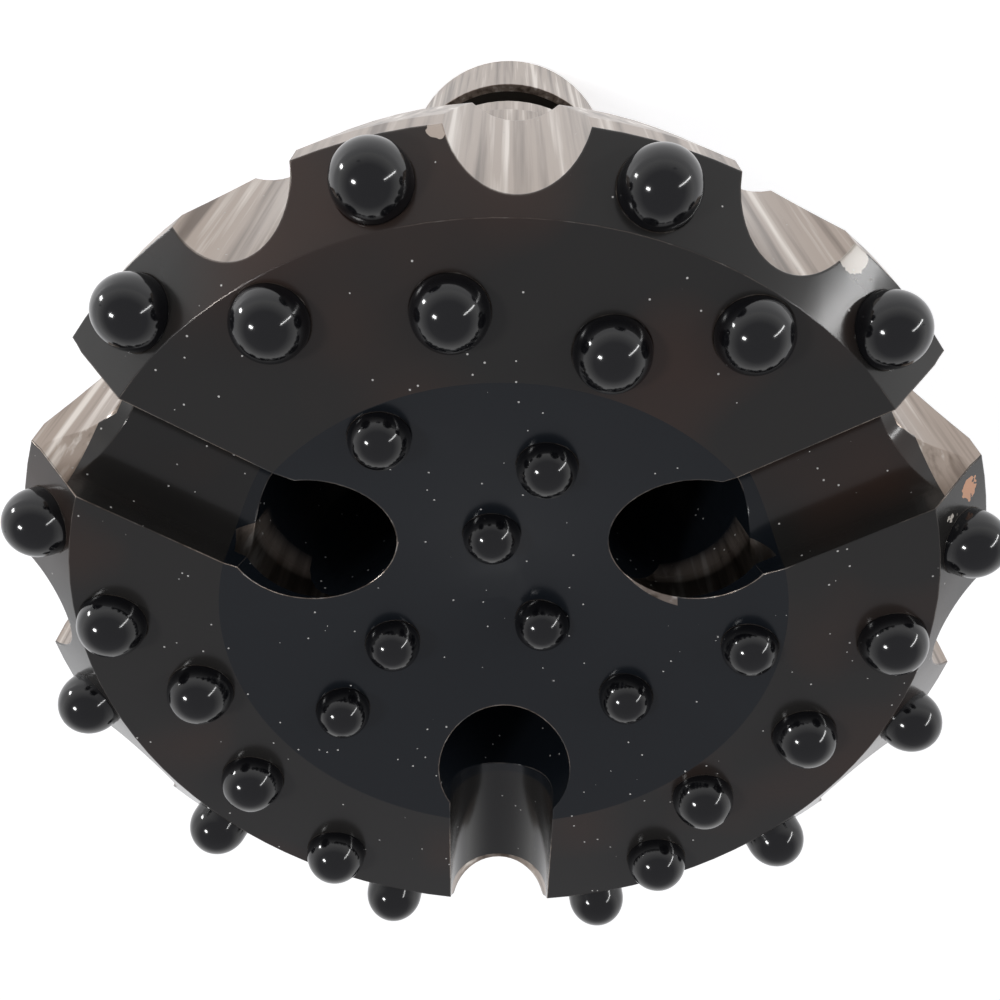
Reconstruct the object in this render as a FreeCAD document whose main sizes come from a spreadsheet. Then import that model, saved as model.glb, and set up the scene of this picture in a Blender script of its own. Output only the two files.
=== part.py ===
import FreeCAD, Part
import math
import os
import Sketcher

# Button bit for a down-the-hole hammer: one forged and milled steel body with
# carbide buttons pressed into its face. The bit stands on its shank end at the
# origin, its axis is +Z, and its face looks up. Millimetres and degrees.

os.makedirs("parts", exist_ok=True)
doc = FreeCAD.newDocument("button_bit")

# ---------------------------------------------------------------- sizes
SIZES = {
    # lengths along the axis, from the shank end up
    "overall_length": 475.0,
    "collar_length": 71.0,
    "recess_length": 47.0,
    "spline_ring_length": 52.0,
    "spline_length": 140.0,
    "shoulder_height": 18.0,
    "shoulder_cone_height": 18.0,
    "head_depth": 69.0,
    # shank
    "collar_radius": 64.0,
    "collar_chamfer": 5.0,
    "recess_radius": 52.0,
    "spline_radius": 74.0,
    "spline_chamfer": 5.0,
    "spline_root_radius": 65.2,
    "spline_groove_width": 32.0,
    "spline_count": 8,
    "guide_radius": 75.0,
    "shoulder_radius": 98.0,
    # central bore, with the seat of the foot valve at its mouth
    "seat_bore_radius": 30.0,
    "seat_bore_depth": 42.0,
    "seat_bore_chamfer": 3.0,
    "bore_radius": 24.0,
    "bore_top_below_face": 146.0,
    "drill_point_height": 12.0,
    # head: flat ring, hollow cone, gauge bevel, land and back taper
    "gauge_radius": 137.1,
    "gauge_bevel_width": 17.1,
    "ring_width": 40.4,
    "cone_depth": 17.5,
    "gauge_bevel_depth": 14.5,
    "gauge_land_length": 9.0,
    "back_taper_width": 8.1,
    # flutes down the side of the head
    "flute_radius": 17.5,
    "flute_centre_outside": 4.4,
    "flute_angle": 29.0,
    # three slots in the face and the flushing holes at their inner ends
    "sector_count": 3,
    "slot_radius": 16.6,
    "slot_depth": 22.0,
    "slot_side_shift": -1.2,
    "slot_start_radius": 60.5,
    "ramp_angle": 38.0,
    "flushing_radius": 20.7,
    "flushing_centre_radius": 60.5,
    "flushing_side_shift": -1.7,
    "flushing_tilt": 15.0,
    "flushing_depth": 172.0,
    "cutter_overrun": 20.0,
    # buttons: a cylinder with a chamfered foot and a hemisphere
    "large_button_radius": 9.5,
    "large_button_shank": 20.0,
    "small_button_radius": 8.0,
    "small_button_shank": 17.0,
    "button_foot_chamfer": 1.2,
    # where the centres of the button hemispheres lie
    "gauge_button_inset": 7.3,
    "gauge_button_below_face": 5.6,
    "gauge_button_tilt": 40.4,
    "front_button_above_face": 1.0,
    "centre_button_rise": 1.0,
}

# Angles of the buttons from the middle of their sector, or from +X for the
# centre ones. Front buttons also have their distance in from the rim of the
# face, and centre buttons their distance from the axis.
SECTOR_MIDDLES = (270.0, 30.0, 150.0)
GAUGE_ANGLES = (-44.09, -14.27, 14.27, 44.09)
FRONT_PLACES = ((10.4, -31.0), (28.5, -15.1), (21.4, 8.4), (10.4, 30.9))
CENTRE_PLACES = (
    (70.4, 297.4), (53.8, 259.1), (27.0, 278.1), (13.5, 149.0),
    (34.6, 20.6), (59.1, 36.1), (47.5, 142.6), (70.6, 177.0),
)

# Slots: their direction, where their floor starts to slope down, and how far
# outside the gauge the flute at their end has its centre.
SLOTS = ((90.0, 131.0, 7.4), (210.0, 122.4, 0.6), (330.0, 122.4, 0.9))

sheet = doc.addObject("Spreadsheet::Sheet", "Sizes")
for row, (alias, value) in enumerate(SIZES.items(), start=1):
    sheet.set("A%d" % row, alias)
    sheet.set("B%d" % row, str(value))
    sheet.setAlias("B%d" % row, alias)
doc.recompute()


def sized(formula):
    """A formula over the names in SIZES, as an expression on the spreadsheet."""
    words = formula.split()
    return " ".join("Sizes." + word if word in SIZES else word for word in words)


# ---------------------------------------------------------------- helpers
def new_body(label):
    body = doc.addObject("PartDesign::Body", label)
    body.Label = label
    return body


def new_sketch(body, name, role, lift=None):
    """Sketch on one of the body's own origin planes, lifted along its normal."""
    plane = [f for f in body.Origin.OriginFeatures if f.Role == role][0]
    sketch = body.newObject("Sketcher::SketchObject", name)
    sketch.AttachmentSupport = (plane, [""])
    sketch.MapMode = "FlatFace"
    if lift:
        sketch.setExpression("AttachmentOffset.Base.z", sized(lift))
    return sketch


def hold(sketch, direction, geometry, point, formula, start=1.0):
    """Distance of one point from the sketch's origin, bound to a formula."""
    index = sketch.addConstraint(
        Sketcher.Constraint(direction, -1, 1, geometry, point, start))
    sketch.setExpression("Constraints[%d]" % index, sized(formula))


def add_outline(sketch, corners):
    """Closed outline whose corners lie at pairs of formulas."""
    count = len(corners)
    turn = 2.0 * math.pi / count
    ring = [FreeCAD.Vector(math.cos(turn * i), math.sin(turn * i), 0) for i in range(count)]
    for i in range(count):
        sketch.addGeometry(Part.LineSegment(ring[i], ring[(i + 1) % count]), False)
    for i in range(count):
        sketch.addConstraint(Sketcher.Constraint("Coincident", i, 2, (i + 1) % count, 1))
    for i, (across, up) in enumerate(corners):
        hold(sketch, "DistanceX", i, 1, across)
        hold(sketch, "DistanceY", i, 1, up)


def add_band(sketch, inner, outer, width):
    """Outline between two arcs round the origin and two sides a width apart."""
    centre = FreeCAD.Vector(0, 0, 0)
    up = FreeCAD.Vector(0, 0, 1)
    half = SIZES[width] / 2.0
    ends = []
    for index, radius in enumerate((SIZES[inner], SIZES[outer] + SIZES["cutter_overrun"])):
        spread = math.asin(half / radius)
        circle = Part.Circle(centre, up, radius)
        sketch.addGeometry(Part.ArcOfCircle(circle, -spread, spread), False)
        ends.append(radius * math.cos(spread))
    for side in (-half, half):
        near = FreeCAD.Vector(ends[0], side, 0)
        far = FreeCAD.Vector(ends[1], side, 0)
        sketch.addGeometry(Part.LineSegment(near, far), False)
    for arc, formula in ((0, inner), (1, outer + " + cutter_overrun")):
        sketch.addConstraint(Sketcher.Constraint("Coincident", arc, 3, -1, 1))
        start = sketch.Geometry[arc].Radius
        size = sketch.addConstraint(Sketcher.Constraint("Radius", arc, start))
        sketch.setExpression("Constraints[%d]" % size, sized(formula))
    for line, arc_end, share in ((2, 1, " / -2"), (3, 2, " / 2")):
        sketch.addConstraint(Sketcher.Constraint("Coincident", line, 1, 0, arc_end))
        sketch.addConstraint(Sketcher.Constraint("Coincident", line, 2, 1, arc_end))
        sketch.addConstraint(Sketcher.Constraint("Horizontal", line))
        start = sketch.Geometry[line].StartPoint.y
        hold(sketch, "DistanceY", line, 1, width + share, start)


def revolve(body, sketch, name):
    turned = body.newObject("PartDesign::Revolution", name)
    turned.Profile = sketch
    turned.ReferenceAxis = (sketch, ["V_Axis"])
    turned.Angle = 360.0
    return turned


def pocket(body, sketch, name, length, reverse=False):
    cut = body.newObject("PartDesign::Pocket", name)
    cut.Profile = sketch
    cut.setExpression("Length", sized(length))
    cut.Reversed = reverse
    return cut


def repeat(body, feature, name, count):
    """The same feature repeated round the bit's axis."""
    axis = [line for line in body.Origin.OriginFeatures if line.Role == "Z_Axis"][0]
    pattern = body.newObject("PartDesign::PolarPattern", name)
    pattern.Originals = [feature]
    pattern.Axis = (axis, [""])
    pattern.Angle = 360.0
    pattern.setExpression("Occurrences", sized(count))
    body.Tip = pattern
    return pattern


def place(target, radius, height, tilt, angle):
    """Stand an object at a radius and height, leaning outwards by the tilt."""
    spot = "vector(( %s ) * cos( %s ); ( %s ) * sin( %s ); %s )" % (
        radius, angle, radius, angle, height)
    lean = "rotation(vector( -1 * sin( %s ); cos( %s ); 0 ); %s )" % (angle, angle, tilt)
    target.setExpression("Placement", sized("placement( %s ; %s )" % (spot, lean)))


# ---------------------------------------------------------------- turned body
forging = new_body("forging")
profile = new_sketch(forging, "turned_profile", "XZ_Plane")
RECESS_END = "collar_length + recess_length"
RING_END = RECESS_END + " + spline_ring_length"
SPLINE_END = RING_END + " + spline_length"
HEAD_BACK = "overall_length - head_depth"
SHOULDER_TOP = HEAD_BACK + " - shoulder_cone_height"
SHOULDER_FACE = SHOULDER_TOP + " - shoulder_height"
BEVEL_END = "overall_length - gauge_bevel_depth"
BORE_TOP = "overall_length - bore_top_below_face"
FACE_RADIUS = "gauge_radius - gauge_bevel_width"
RING_INNER = FACE_RADIUS + " - ring_width"
add_outline(profile, [
    ("seat_bore_radius + seat_bore_chamfer", "0"),
    ("collar_radius - collar_chamfer", "0"),
    ("collar_radius", "collar_chamfer"),
    ("collar_radius", "collar_length"),
    ("recess_radius", "collar_length"),
    ("recess_radius", RECESS_END),
    ("spline_root_radius", RECESS_END),
    ("spline_root_radius", RING_END),
    ("spline_radius", RING_END + " + spline_chamfer"),
    ("spline_radius", SPLINE_END),
    ("guide_radius", SPLINE_END),
    ("guide_radius", SHOULDER_FACE),
    ("shoulder_radius", SHOULDER_FACE),
    ("shoulder_radius", SHOULDER_TOP),
    ("shoulder_radius + shoulder_cone_height", HEAD_BACK),
    ("gauge_radius - back_taper_width", HEAD_BACK),
    ("gauge_radius", BEVEL_END + " - gauge_land_length"),
    ("gauge_radius", BEVEL_END),
    (FACE_RADIUS, "overall_length"),
    (RING_INNER, "overall_length"),
    ("0", "overall_length - cone_depth"),
    ("0", BORE_TOP + " + drill_point_height"),
    ("bore_radius", BORE_TOP),
    ("bore_radius", "seat_bore_depth"),
    ("seat_bore_radius", "seat_bore_depth"),
    ("seat_bore_radius", "seat_bore_chamfer"),
])
doc.recompute()
revolve(forging, profile, "turned_shape")
doc.recompute()

# ---------------------------------------------------------------- splines
groove_sketch = new_sketch(forging, "spline_groove_sketch", "XY_Plane", RING_END)
groove_sketch.setExpression("AttachmentOffset.Rotation.Angle", sized("180 / spline_count"))
add_band(groove_sketch, "spline_root_radius", "spline_radius", "spline_groove_width")
doc.recompute()
groove = pocket(forging, groove_sketch, "spline_groove", "spline_length", True)
doc.recompute()
repeat(forging, groove, "spline_grooves", "spline_count")
doc.recompute()

# ---------------------------------------------------------------- flutes
flute_sketch = new_sketch(forging, "flute_sketch", "XY_Plane", HEAD_BACK)
FLUTE_CIRCLE = "( gauge_radius + flute_centre_outside )"
for step, angle in enumerate(("30", "30 - flute_angle", "30 + flute_angle")):
    near = FreeCAD.Vector(10.0 + step, 10.0 * step, 0)
    flute_sketch.addGeometry(Part.Circle(near, FreeCAD.Vector(0, 0, 1), 1.0), False)
    hold(flute_sketch, "DistanceX", step, 3, FLUTE_CIRCLE + " * cos( %s )" % angle)
    hold(flute_sketch, "DistanceY", step, 3, FLUTE_CIRCLE + " * sin( %s )" % angle)
    width = flute_sketch.addConstraint(Sketcher.Constraint("Radius", step, 1.0))
    flute_sketch.setExpression("Constraints[%d]" % width, sized("flute_radius"))
doc.recompute()
flute = pocket(forging, flute_sketch, "flute", "head_depth", True)
doc.recompute()
repeat(forging, flute, "flutes", "sector_count")
doc.recompute()

# ---------------------------------------------------------------- slots
slot_sketch = new_sketch(forging, "slot_sketch", "XZ_Plane", "-1 * slot_start_radius")
SLOT_AXIS = "overall_length - slot_depth + slot_radius"
add_outline(slot_sketch, [
    ("slot_side_shift - slot_radius", SLOT_AXIS),
    ("slot_side_shift + slot_radius", SLOT_AXIS),
    ("slot_side_shift + slot_radius", "overall_length + cutter_overrun"),
    ("slot_side_shift - slot_radius", "overall_length + cutter_overrun"),
])
doc.recompute()
slot = pocket(forging, slot_sketch, "slot", "gauge_radius")
doc.recompute()
repeat(forging, slot, "slots", "sector_count")
doc.recompute()

floor_sketch = new_sketch(forging, "slot_floor_sketch", "XZ_Plane", "-1 * slot_start_radius")
floor_start = FreeCAD.Vector(0, SIZES["overall_length"], 0)
floor_sketch.addGeometry(Part.Circle(floor_start, FreeCAD.Vector(0, 0, 1), 1.0), False)
hold(floor_sketch, "DistanceX", 0, 3, "slot_side_shift")
hold(floor_sketch, "DistanceY", 0, 3, SLOT_AXIS)
floor_width = floor_sketch.addConstraint(Sketcher.Constraint("Radius", 0, 1.0))
floor_sketch.setExpression("Constraints[%d]" % floor_width, sized("slot_radius"))
doc.recompute()
slot_floor = pocket(forging, floor_sketch, "slot_floor", "gauge_radius")
doc.recompute()
repeat(forging, slot_floor, "slot_floors", "sector_count")
doc.recompute()

# ---------------------------------------------------------------- cutters
cutters = []


def round_cutter(name, radius, height):
    cutter = doc.addObject("Part::Cylinder", name)
    cutter.setExpression("Radius", sized(radius))
    cutter.setExpression("Height", sized(height))
    cutters.append(cutter)
    return cutter


def spot(reach, side, height, angle):
    """A point given by its distance out along a slot, to its side, and its height."""
    across = "( %s ) * cos( %s ) + ( %s ) * sin( %s )" % (reach, angle, side, angle)
    along = "( %s ) * sin( %s ) - ( %s ) * cos( %s )" % (reach, angle, side, angle)
    return "vector( %s ; %s ; %s )" % (across, along, height)


def set_cutter(cutter, point, angle, lean):
    """Stand a cutter on a point with its axis leaning out along the slot."""
    turn = "rotation( %s ; %s ; 0 )" % (angle, lean)
    cutter.setExpression("Placement", sized("placement( %s ; %s )" % (point, turn)))


for number, (direction, ramp_start, flute_outside) in enumerate(SLOTS, start=1):
    angle = str(direction)
    # The flushing hole leans inwards from the slot to the central bore.
    hole = round_cutter("flushing_cutter_%d" % number, "flushing_radius",
                        "flushing_depth + cutter_overrun")
    set_cutter(hole, spot("flushing_centre_radius - flushing_depth * sin( flushing_tilt )",
                          "flushing_side_shift",
                          "overall_length - flushing_depth * cos( flushing_tilt )",
                          angle), angle, "flushing_tilt")
    # The slot's outer end slopes down into a flute that is deeper than the others.
    floor = round_cutter("ramp_floor_%d" % number, "slot_radius", "cutter_overrun * 2")
    set_cutter(floor, spot(str(ramp_start), "slot_side_shift", SLOT_AXIS, angle),
               angle, "90 + ramp_angle")
    walls = doc.addObject("Part::Box", "ramp_walls_%d" % number)
    walls.setExpression("Length", sized("cutter_overrun"))
    walls.setExpression("Width", sized("slot_radius * 2"))
    walls.setExpression("Height", sized("cutter_overrun * 2"))
    cutters.append(walls)
    set_cutter(walls, spot("%s + cutter_overrun * sin( ramp_angle )" % ramp_start,
                           "slot_side_shift + slot_radius",
                           SLOT_AXIS + " + cutter_overrun * cos( ramp_angle )", angle),
               angle, "90 + ramp_angle")
    flute_end = round_cutter("slot_flute_%d" % number, "flute_radius",
                             "head_depth + cutter_overrun")
    set_cutter(flute_end, spot("gauge_radius + %s" % flute_outside, "slot_side_shift",
                               HEAD_BACK, angle), angle, "0")


# ---------------------------------------------------------------- buttons
def add_button(label, kind, radius, height, tilt, angle):
    """A button with its hemisphere centred on a place, and the seat for its shank."""
    size = kind + "_button_radius"
    shank = kind + "_button_shank"
    button = new_body(label)
    half = new_sketch(button, label + "_profile", "XZ_Plane")
    add_outline(half, [
        ("0", "0"),
        (size + " - button_foot_chamfer", "0"),
        (size, "button_foot_chamfer"),
        (size, shank),
        ("0", shank),
    ])
    doc.recompute()
    revolve(button, half, label + "_shank")
    doc.recompute()
    ball = button.newObject("PartDesign::AdditiveSphere", label + "_crown")
    ball.setExpression("Radius", sized(size))
    ball.Angle1 = 0.0
    ball.AttachmentOffset = FreeCAD.Placement()
    ball.setExpression("Placement.Base.z", sized(shank))
    doc.recompute()
    foot_radius = "%s - %s * sin( %s )" % (radius, shank, tilt)
    foot_height = "%s - %s * cos( %s )" % (height, shank, tilt)
    place(button, foot_radius, foot_height, tilt, angle)
    seat = round_cutter(label + "_seat", size, shank + " + cutter_overrun")
    place(seat, foot_radius, foot_height, tilt, angle)
    return button


buttons = []
number = 0
for middle in SECTOR_MIDDLES:
    for offset in GAUGE_ANGLES:
        number += 1
        buttons.append(add_button(
            "gauge_button_%02d" % number, "large",
            "gauge_radius - gauge_button_inset",
            "overall_length - gauge_button_below_face", "gauge_button_tilt",
            "%.2f" % (middle + offset)))
number = 0
for middle in SECTOR_MIDDLES:
    for inset, offset in FRONT_PLACES:
        number += 1
        buttons.append(add_button(
            "front_button_%02d" % number, "large",
            "%s - %s" % (FACE_RADIUS, inset),
            "overall_length + front_button_above_face", "0",
            "%.2f" % (middle + offset)))
CONE_TILT = "-1 * atan( cone_depth / ( %s ) )" % RING_INNER
for number, (circle, angle) in enumerate(CENTRE_PLACES, start=1):
    rise = "overall_length - cone_depth * ( 1 - %s / ( %s ) ) + centre_button_rise"
    buttons.append(add_button(
        "centre_button_%02d" % number, "small", str(circle), rise % (circle, RING_INNER),
        CONE_TILT, str(angle)))
doc.recompute()

# ---------------------------------------------------------------- body with its holes
holes = doc.addObject("Part::MultiFuse", "holes")
holes.Shapes = cutters
bit_body = doc.addObject("Part::Cut", "bit_body")
bit_body.Label = "bit_body"
bit_body.Base = forging
bit_body.Tool = holes
doc.recompute()

# ---------------------------------------------------------------- check and write
for item in doc.Objects:
    bad = [word for word in item.State if word in ("Invalid", "Error")]
    if bad:
        raise RuntimeError("%s is %s" % (item.Label, bad))

for piece in [bit_body] + buttons:
    shape = piece.Shape
    if shape.isNull() or not shape.isValid() or len(shape.Solids) != 1:
        raise RuntimeError("%s has no single valid solid" % piece.Label)
    shape.exportStep("parts/%s.step" % piece.Label)
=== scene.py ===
import math

import bmesh
import bpy
from mathutils import Matrix, Vector


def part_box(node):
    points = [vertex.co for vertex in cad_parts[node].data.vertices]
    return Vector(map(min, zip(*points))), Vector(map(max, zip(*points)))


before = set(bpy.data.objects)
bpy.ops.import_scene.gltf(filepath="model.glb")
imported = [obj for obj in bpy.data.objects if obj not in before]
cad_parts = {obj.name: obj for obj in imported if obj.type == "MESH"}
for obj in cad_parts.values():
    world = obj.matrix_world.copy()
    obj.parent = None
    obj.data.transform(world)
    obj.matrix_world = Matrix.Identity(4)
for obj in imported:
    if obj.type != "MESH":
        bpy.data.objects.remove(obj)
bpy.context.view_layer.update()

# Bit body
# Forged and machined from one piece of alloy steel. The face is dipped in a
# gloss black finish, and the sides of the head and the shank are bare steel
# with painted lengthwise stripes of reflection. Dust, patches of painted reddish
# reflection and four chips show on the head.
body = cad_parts["bit_body"]
FACE_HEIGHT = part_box("bit_body")[1].z
FACE_RADIUS = 0.120
BEVEL_SLOPE = 0.851
FINISH_EDGE = 0.0004
BARE_RADIUS = 0.1236
SLOT_DEPTH = 0.024
SLOT_FLUTE_RADIUS = 0.1202
HEAD_DEPTH = 0.0685
RING_INNER_RADIUS = 0.0796
HOLE_CENTRE_RADIUS = 0.0605
LIP_RADIUS = 0.0235
LIP_SIDE = 0.005
LIP_TOP_DEPTH = 0.0065
LIP_FADE_DEPTHS = (0.026, 0.014)
RECESS_TOP = 0.118
RECESS_RADIUS = 0.060
EDGE_RADIUS = 0.0007
# Painted shade and reflection: the cone of the face, darker and bluer than the ring.
CONE_PAINTED_SHADE = (0.007, 0.009, 0.012, 1.0)
BLACK_FINISH = (0.018, 0.017, 0.016, 1.0)
# Painted reflection: reddish patches on the flat ring of the face.
REDDISH_PAINTED_REFLECTION = (0.036, 0.021, 0.016, 1.0)
# Painted reflection: the dark stripes along the bare steel.
DARK_REFLECTION_STRIPE = (0.13, 0.10, 0.08, 1.0)
BARE_STEEL = (0.33, 0.275, 0.235, 1.0)
# Painted highlight: the bright stripes along the bare steel.
BRIGHT_REFLECTION_STRIPE = (0.62, 0.57, 0.52, 1.0)
# Painted shade, partly oil: dark steel in the recess of the shank.
RECESS_PAINTED_SHADE = (0.05, 0.045, 0.04, 1.0)
DUST_COLOUR = (0.55, 0.54, 0.52, 1.0)
# Stretch of the painted reflection stripes along the bit.
REFLECTION_STRIPE_STRETCH = (260.0, 260.0, 5.0)
# Size of the patches of painted reddish reflection.
REFLECTION_PATCH_SCALE = 14.0
RAGGED_SCALE = 400.0
# Size of the patches of rubbed wear and painted edge highlights.
RUB_AND_HIGHLIGHT_SCALE = 45.0
DUST_PATCH_SCALE = 55.0
SPECK_SCALE = 260.0
SPECK_SIZE = 0.075
FINISH_ROUGHNESS = 0.18
BARE_ROUGHER_BY = 0.14
DUST_ROUGHER_BY = 0.5


def add_node(tree, kind, **settings):
    """A node of a material's tree, with its settings written in."""
    node = tree.nodes.new(kind)
    for name, value in settings.items():
        setattr(node, name, value)
    return node


def work_out(tree, operation, first, second=None):
    """A sum of one or two values, each a number or another node's output."""
    node = add_node(tree, "ShaderNodeMath", operation=operation)
    for socket, value in zip(node.inputs, (first, second)):
        if value is None:
            continue
        if isinstance(value, (int, float)):
            socket.default_value = value
        else:
            tree.links.new(value, socket)
    return node.outputs[0]


def new_material(name):
    material = bpy.data.materials.new(name)
    material.use_nodes = True
    return material, material.node_tree, material.node_tree.nodes["Principled BSDF"]


steel, tree, shader = new_material("black_and_bare_steel")
place = add_node(tree, "ShaderNodeTexCoord").outputs["Object"]
split = add_node(tree, "ShaderNodeSeparateXYZ")
tree.links.new(place, split.inputs[0])
across, along, up = split.outputs
radius = work_out(tree, "SQRT", work_out(
    tree, "ADD", work_out(tree, "MULTIPLY", across, across),
    work_out(tree, "MULTIPLY", along, along)))
bevel_height = work_out(
    tree, "SUBTRACT", FACE_HEIGHT - FINISH_EDGE,
    work_out(tree, "MULTIPLY", work_out(tree, "SUBTRACT", radius, FACE_RADIUS), BEVEL_SLOPE))
outside = work_out(tree, "GREATER_THAN", radius, BARE_RADIUS)
below_bevel = work_out(tree, "LESS_THAN", up, bevel_height)
side = work_out(tree, "MULTIPLY", outside, below_bevel)
slot_end = work_out(
    tree, "MULTIPLY", work_out(tree, "GREATER_THAN", radius, SLOT_FLUTE_RADIUS),
    work_out(tree, "LESS_THAN", up, FACE_HEIGHT - SLOT_DEPTH))
below_head = work_out(tree, "LESS_THAN", up, FACE_HEIGHT - HEAD_DEPTH)
bare = work_out(tree, "MAXIMUM", work_out(tree, "MAXIMUM", side, slot_end), below_head)


def add_noise(tree, scale, detail, stretch=(1.0, 1.0, 1.0)):
    """Noise over the piece's own coordinates, stretched along its axes."""
    mapping = add_node(tree, "ShaderNodeMapping")
    mapping.inputs["Scale"].default_value = stretch
    tree.links.new(place, mapping.inputs["Vector"])
    noise = add_node(tree, "ShaderNodeTexNoise")
    noise.inputs["Scale"].default_value = scale
    noise.inputs["Detail"].default_value = detail
    tree.links.new(mapping.outputs[0], noise.inputs["Vector"])
    return noise.outputs[0]


def blend_colours(tree, share, first, second):
    """Two colours, each written out or another node's output, mixed by a share."""
    mix = add_node(tree, "ShaderNodeMix", data_type="RGBA")
    tree.links.new(share, mix.inputs["Factor"])
    for socket, value in (("A", first), ("B", second)):
        if isinstance(value, tuple):
            mix.inputs[socket].default_value = value
        else:
            tree.links.new(value, mix.inputs[socket])
    return mix.outputs["Result"]


def rise_between(tree, value, start, end):
    """0 up to the start, 1 from the end on, and a straight rise between."""
    rise = add_node(tree, "ShaderNodeMapRange")
    tree.links.new(value, rise.inputs["Value"])
    rise.inputs["From Min"].default_value = start
    rise.inputs["From Max"].default_value = end
    return rise.outputs[0]


def patch(tree, centre, size, ragged):
    """1 inside a ragged round patch about a point, 0 outside it."""
    away = add_node(tree, "ShaderNodeVectorMath", operation="DISTANCE")
    tree.links.new(place, away.inputs[0])
    away.inputs[1].default_value = centre
    edge_noise = work_out(tree, "MULTIPLY", add_noise(tree, RAGGED_SCALE, 2.0), ragged)
    reach = work_out(tree, "ADD", away.outputs["Value"], edge_noise)
    return work_out(tree, "LESS_THAN", reach, size + ragged / 2)


# Painted reflection: stripes run along the bit, darker and brighter than the steel between
# them, standing in for the surroundings reflected lengthwise in the steel.
reflection_stripes = add_noise(tree, 1.0, 4.0, REFLECTION_STRIPE_STRETCH)
steel_with_painted_light = blend_colours(tree, rise_between(tree, reflection_stripes, 0.34, 0.5), DARK_REFLECTION_STRIPE, BARE_STEEL)
steel_with_painted_light = blend_colours(
    tree, rise_between(tree, reflection_stripes, 0.56, 0.68), steel_with_painted_light, BRIGHT_REFLECTION_STRIPE)

# Painted shade and reflection: the cone of the face is painted blue-black, darker than the
# ring, and the ring round it carries patches of painted reddish reflection.
reflection_patches = rise_between(tree, add_noise(tree, REFLECTION_PATCH_SCALE, 2.0), 0.52, 0.68)
on_ring = work_out(tree, "GREATER_THAN", radius, RING_INNER_RADIUS)
ring_finish_and_reflection = blend_colours(tree, reflection_patches, BLACK_FINISH, REDDISH_PAINTED_REFLECTION)
finish_and_painted_light = blend_colours(tree, on_ring, CONE_PAINTED_SHADE, ring_finish_and_reflection)

# Each chip: its place from the axis and down from the face, size and colour.
CHIPS = (
    (-0.1215, -0.0457, 0.012, 0.0042, (0.62, 0.30, 0.16, 1.0)),
    (-0.1150, -0.0395, 0.008, 0.0046, (0.60, 0.56, 0.50, 1.0)),
    (-0.0804, -0.1088, 0.012, 0.0040, (0.55, 0.50, 0.44, 1.0)),
    (0.0173, -0.1354, 0.014, 0.0026, (0.50, 0.42, 0.36, 1.0)),
)
for chip_x, chip_y, chip_depth, size, chip_colour in CHIPS:
    chipped = patch(tree, (chip_x, chip_y, FACE_HEIGHT - chip_depth), size, size)
    finish_and_painted_light = blend_colours(tree, chipped, finish_and_painted_light, chip_colour)

# The lips of the two holes nearest the front are cut back to bare metal.
lips = 0.0
for angle in (210.0, 330.0):
    turn = math.radians(angle)
    lip_y = HOLE_CENTRE_RADIUS * math.sin(turn)
    from_x = work_out(tree, "SUBTRACT", across, HOLE_CENTRE_RADIUS * math.cos(turn))
    from_y = work_out(tree, "SUBTRACT", along, lip_y)
    away = work_out(tree, "SQRT", work_out(
        tree, "ADD", work_out(tree, "MULTIPLY", from_x, from_x),
        work_out(tree, "MULTIPLY", from_y, from_y)))
    lip = work_out(tree, "MULTIPLY", work_out(tree, "LESS_THAN", away, LIP_RADIUS),
                   work_out(tree, "GREATER_THAN", along, lip_y + LIP_SIDE))
    lip = work_out(tree, "MULTIPLY", lip, work_out(
        tree, "LESS_THAN", up, FACE_HEIGHT - LIP_TOP_DEPTH))
    lip = work_out(tree, "MULTIPLY", lip, rise_between(
        tree, up, *[FACE_HEIGHT - depth for depth in LIP_FADE_DEPTHS]))
    lips = work_out(tree, "MAXIMUM", lips, lip)

# Sharp edges are painted bright, partly as rubbed wear and partly as painted highlight lines,
# and the recess of the shank is painted dark as shade, partly oil.
edge = add_node(tree, "ShaderNodeBevel", samples=8)
edge.inputs["Radius"].default_value = EDGE_RADIUS
true_normal = add_node(tree, "ShaderNodeNewGeometry").outputs["Normal"]
bend = add_node(tree, "ShaderNodeVectorMath", operation="DOT_PRODUCT")
tree.links.new(edge.outputs[0], bend.inputs[0])
tree.links.new(true_normal, bend.inputs[1])
rubbed_and_highlit_edges = rise_between(tree, work_out(tree, "SUBTRACT", 1.0, bend.outputs["Value"]), 0.02, 0.16)
rubbed_and_highlit_edges = work_out(tree, "MULTIPLY", rubbed_and_highlit_edges, rise_between(
    tree, add_noise(tree, RUB_AND_HIGHLIGHT_SCALE, 2.0), 0.40, 0.56))
# Edges count as bare steel here, partly real wear and partly painted highlight lines.
bare = work_out(tree, "MAXIMUM", bare, work_out(tree, "MAXIMUM", rubbed_and_highlit_edges, lips))
# Painted shade, partly oil: the recess of the shank is darkened.
shaded_recess = work_out(tree, "MULTIPLY", work_out(tree, "LESS_THAN", up, RECESS_TOP), work_out(
    tree, "LESS_THAN", radius, RECESS_RADIUS))
steel_with_painted_light = blend_colours(tree, shaded_recess, steel_with_painted_light, RECESS_PAINTED_SHADE)
body_colour = blend_colours(tree, bare, finish_and_painted_light, steel_with_painted_light)

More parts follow.
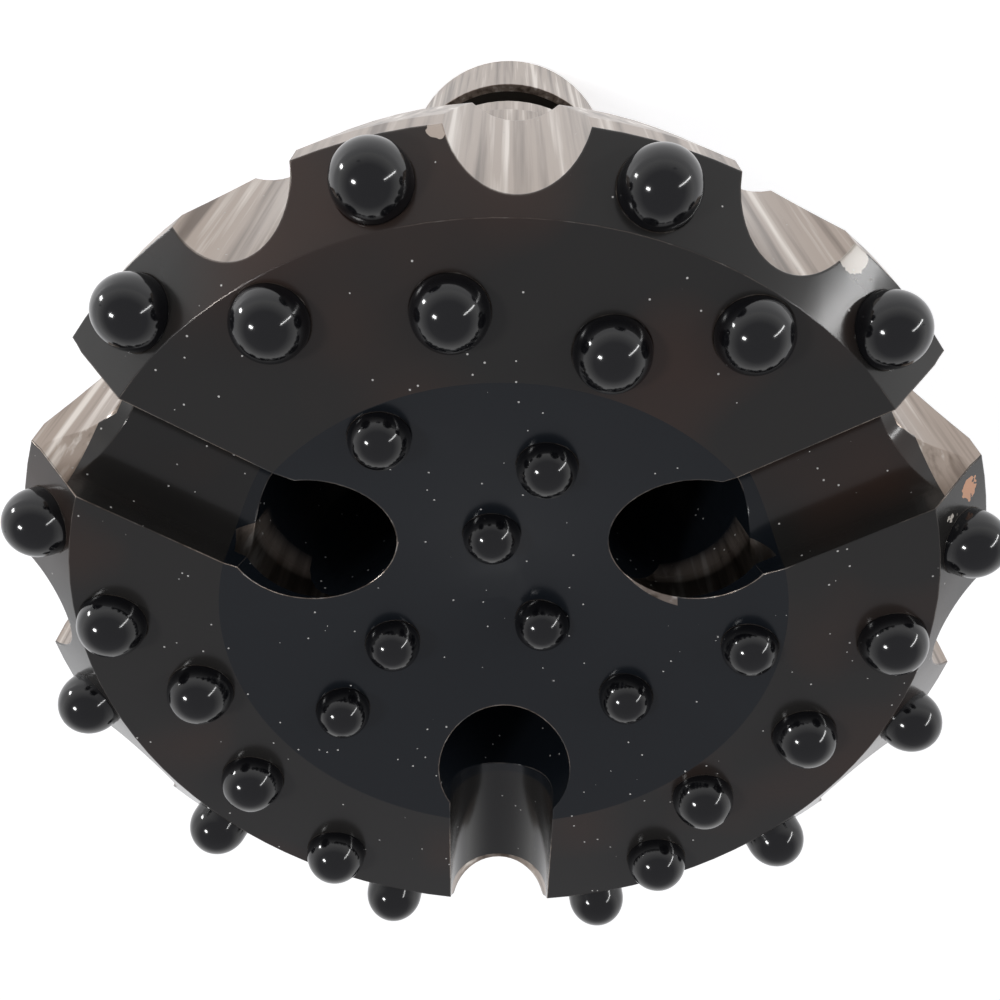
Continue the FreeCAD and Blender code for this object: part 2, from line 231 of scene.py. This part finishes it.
# Fine pale dust lies in patches.
specks = add_node(tree, "ShaderNodeTexVoronoi")
specks.inputs["Scale"].default_value = SPECK_SCALE
tree.links.new(place, specks.inputs["Vector"])
near_speck = work_out(tree, "LESS_THAN", specks.outputs["Distance"], SPECK_SIZE)
some = work_out(tree, "GREATER_THAN", add_noise(tree, DUST_PATCH_SCALE, 2.0), 0.5)
dusty = work_out(tree, "MULTIPLY", near_speck, some)
body_colour = blend_colours(tree, dusty, body_colour, DUST_COLOUR)
tree.links.new(body_colour, shader.inputs["Base Color"])
tree.links.new(bare, shader.inputs["Metallic"])
rough = work_out(tree, "ADD", work_out(
    tree, "MULTIPLY", bare, BARE_ROUGHER_BY), FINISH_ROUGHNESS)
rough = work_out(tree, "ADD", rough, work_out(
    tree, "MULTIPLY", dusty, DUST_ROUGHER_BY))
tree.links.new(rough, shader.inputs["Roughness"])
tree.links.new(edge.outputs[0], shader.inputs["Normal"])
body.data.materials.clear()
body.data.materials.append(steel)

# Buttons
# Sintered tungsten carbide, polished and pressed into blind seats
# on the bevel, the flat ring and the hollow cone of the face.
carbide, tree, shader = new_material("black_carbide")
shader.inputs["Base Color"].default_value = (0.004, 0.004, 0.005, 1.0)
shader.inputs["Roughness"].default_value = 0.11
shader.inputs["IOR"].default_value = 1.55
for name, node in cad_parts.items():
    if "button" in name:
        node.data.materials.clear()
        node.data.materials.append(carbide)

# Floor, light and camera
# A wide pale floor under the standing bit, soft light from all round, and
# small bright lamps to both sides that show in the gloss.
FLOOR_REACH = 30.0
FLOOR_GLOW = 0.55
floor_mesh = bpy.data.meshes.new("floor")
sheet = bmesh.new()
bmesh.ops.create_grid(sheet, x_segments=1, y_segments=1, size=FLOOR_REACH)
sheet.to_mesh(floor_mesh)
sheet.free()
floor = bpy.data.objects.new("floor", floor_mesh)
bpy.context.scene.collection.objects.link(floor)
paint, tree, shader = new_material("pale_floor")
tree.nodes.remove(shader)
matt = add_node(tree, "ShaderNodeBsdfDiffuse")
matt.inputs["Color"].default_value = (0.85, 0.85, 0.85, 1.0)
glow = add_node(tree, "ShaderNodeEmission")
ray = add_node(tree, "ShaderNodeLightPath")
seen = work_out(tree, "MAXIMUM", ray.outputs["Is Camera Ray"], work_out(
    tree, "MAXIMUM", ray.outputs["Is Glossy Ray"], ray.outputs["Is Transmission Ray"]))
tree.links.new(work_out(tree, "MULTIPLY", seen, FLOOR_GLOW), glow.inputs["Strength"])
both = add_node(tree, "ShaderNodeAddShader")
tree.links.new(matt.outputs[0], both.inputs[0])
tree.links.new(glow.outputs[0], both.inputs[1])
tree.links.new(both.outputs[0], tree.nodes["Material Output"].inputs["Surface"])
floor_mesh.materials.append(paint)

sky = bpy.data.worlds.new("studio")
bpy.context.scene.world = sky
sky.use_nodes = True
tree = sky.node_tree
background = tree.nodes["Background"]
direction = add_node(tree, "ShaderNodeTexCoord").outputs["Generated"]
split = add_node(tree, "ShaderNodeSeparateXYZ")
tree.links.new(direction, split.inputs[0])
ramp = add_node(tree, "ShaderNodeValToRGB")
tree.links.new(split.outputs[2], ramp.inputs[0])
ramp.color_ramp.elements[0].position = 0.08
ramp.color_ramp.elements[0].color = (1, 1, 1, 1)
ramp.color_ramp.elements[1].position = 0.55
ramp.color_ramp.elements[1].color = (0.38, 0.38, 0.40, 1)
tree.links.new(ramp.outputs[0], background.inputs["Color"])

HEAD_CENTRE = Vector((0, 0, FACE_HEIGHT))
LAMP_DISTANCE = 1.6


def add_lamp(name, direction, wide, tall, power):
    """A rectangular lamp that faces the head of the bit."""
    light = bpy.data.lights.new(name, "AREA")
    light.shape = "RECTANGLE"
    light.size = wide
    light.size_y = tall
    light.energy = power
    lamp = bpy.data.objects.new(name, light)
    towards = Vector(direction).normalized()
    lamp.location = HEAD_CENTRE + towards * LAMP_DISTANCE
    lamp.rotation_euler = (-towards).to_track_quat("-Z", "Y").to_euler()
    lamp.visible_camera = False
    bpy.context.scene.collection.objects.link(lamp)


add_lamp("left_lamp", (0.64, -0.21, 0.74), 0.16, 0.26, 7.0)
add_lamp("left_window", (0.88, -0.45, -0.03), 0.16, 0.24, 5.0)
add_lamp("right_lamp", (-0.72, -0.35, 0.35), 0.06, 1.2, 5.0)

camera_data = bpy.data.cameras.new("camera")
camera = bpy.data.objects.new("camera", camera_data)
bpy.context.scene.collection.objects.link(camera)
bpy.context.scene.camera = camera
camera_data.sensor_width = 36.0
camera_data.lens = 37.53
camera_data.clip_start = 0.01
camera_data.clip_end = 100.0
camera_place = Vector((0.0026, -0.1943, FACE_HEIGHT + 0.2246))
aim = Vector((0.0018, -0.0458, FACE_HEIGHT))
ROLL = math.radians(-178.95)
look = (aim - camera_place).to_track_quat("-Z", "Y").to_matrix().to_4x4()
camera.matrix_world = Matrix.Translation(camera_place) @ look @ Matrix.Rotation(ROLL, 4, "Z")

bpy.context.scene.view_settings.view_transform = "Standard"
